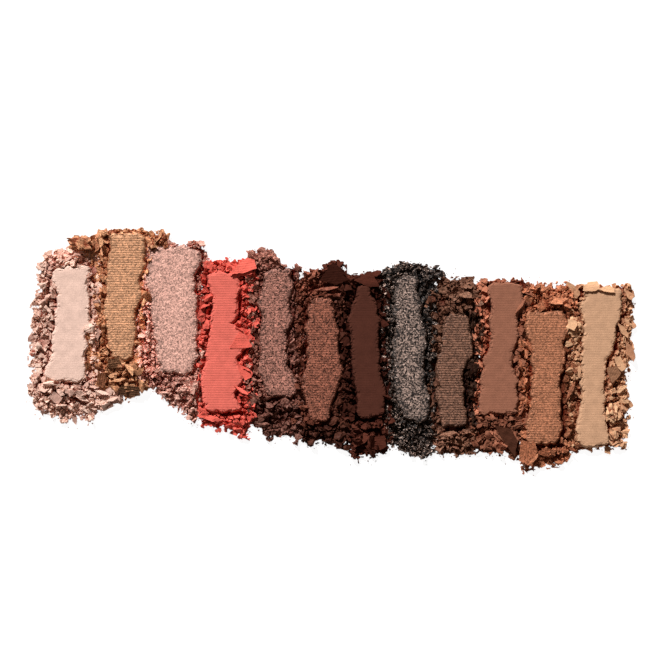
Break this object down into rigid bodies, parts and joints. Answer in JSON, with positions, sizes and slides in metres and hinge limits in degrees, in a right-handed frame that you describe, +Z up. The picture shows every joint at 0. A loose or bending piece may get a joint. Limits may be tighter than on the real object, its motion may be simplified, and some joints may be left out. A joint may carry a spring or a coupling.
{
  "type": "eyeshadow palette",
  "caption": "Row of pressed-powder eyeshadow shades laid side by side out of their case, each a flat ribbed strip edged with crumbled powder and flakes.",
  "frame": {"origin": "middle of the row's underside, on the surface that it lies on", "axes": "+X along the row from the pale pink shade to the beige one, +Y towards the heads of the strips, +Z up out of the pressed faces"},
  "size_m": [0.1766, 0.0702, 0.0047],
  "materials": {
    "pale_pink": "matte pressed powder",
    "gold": "shimmering pressed powder",
    "rose": "coarse sparkling pressed powder",
    "coral": "matte pressed powder",
    "rose_bronze": "shimmering pressed powder",
    "copper": "shimmering pressed powder",
    "chocolate": "matte pressed powder",
    "black": "black pressed powder full of silver glitter",
    "taupe": "shimmering pressed powder",
    "rosewood": "matte pressed powder",
    "terracotta": "satin pressed powder",
    "beige": "matte pressed powder"
  },
  "bodies": {
    "root": {"pale_pink_strip": "pale_pink", "pale_pink_head_bank": "pale_pink", "pale_pink_foot_bank": "pale_pink", "gold_strip": "gold", "gold_head_bank": "gold", "gold_foot_bank": "gold", "rose_strip": "rose", "rose_head_bank": "rose", "rose_foot_bank": "rose", "coral_strip": "coral", "coral_head_bank": "coral", "coral_foot_bank": "coral", "rose_bronze_strip": "rose_bronze", "rose_bronze_head_bank": "rose_bronze", "rose_bronze_foot_bank": "rose_bronze", "copper_strip": "copper", "copper_head_bank": "copper", "copper_foot_bank": "copper", "chocolate_strip": "chocolate", "chocolate_head_bank": "chocolate", "chocolate_foot_bank": "chocolate", "black_strip": "black", "black_head_bank": "black", "black_foot_bank": "black", "taupe_strip": "taupe", "taupe_head_bank": "taupe", "taupe_foot_bank": "taupe", "rosewood_strip": "rosewood", "rosewood_head_bank": "rosewood", "rosewood_foot_bank": "rosewood", "terracotta_strip": "terracotta", "terracotta_head_bank": "terracotta", "terracotta_foot_bank": "terracotta", "beige_strip": "beige", "beige_head_bank": "beige", "beige_foot_bank": "beige", "pale_pink_gold_bank": "pale_pink", "gold_rose_bank": "gold", "rose_coral_bank": "rose", "coral_rose_bronze_bank": "coral", "rose_bronze_copper_bank": "rose_bronze", "copper_chocolate_bank": "copper", "chocolate_black_bank": "chocolate", "black_taupe_bank": "black", "taupe_rosewood_bank": "taupe", "rosewood_terracotta_bank": "rosewood", "terracotta_beige_bank": "terracotta", "pale_pink_outer_bank": "pale_pink", "beige_outer_bank": "beige", "gold_corner_flake": "gold", "gold_head_chunk": "gold", "gold_foot_flake": "gold", "rose_foot_chunk": "rose", "coral_head_flake": "coral", "coral_side_flake": "coral", "rose_bronze_head_chunk": "rose_bronze", "chocolate_head_flake": "chocolate", "chocolate_foot_flake": "chocolate", "rosewood_foot_flake": "rosewood", "beige_side_chunk": "beige"}
  },
  "joints": []
}
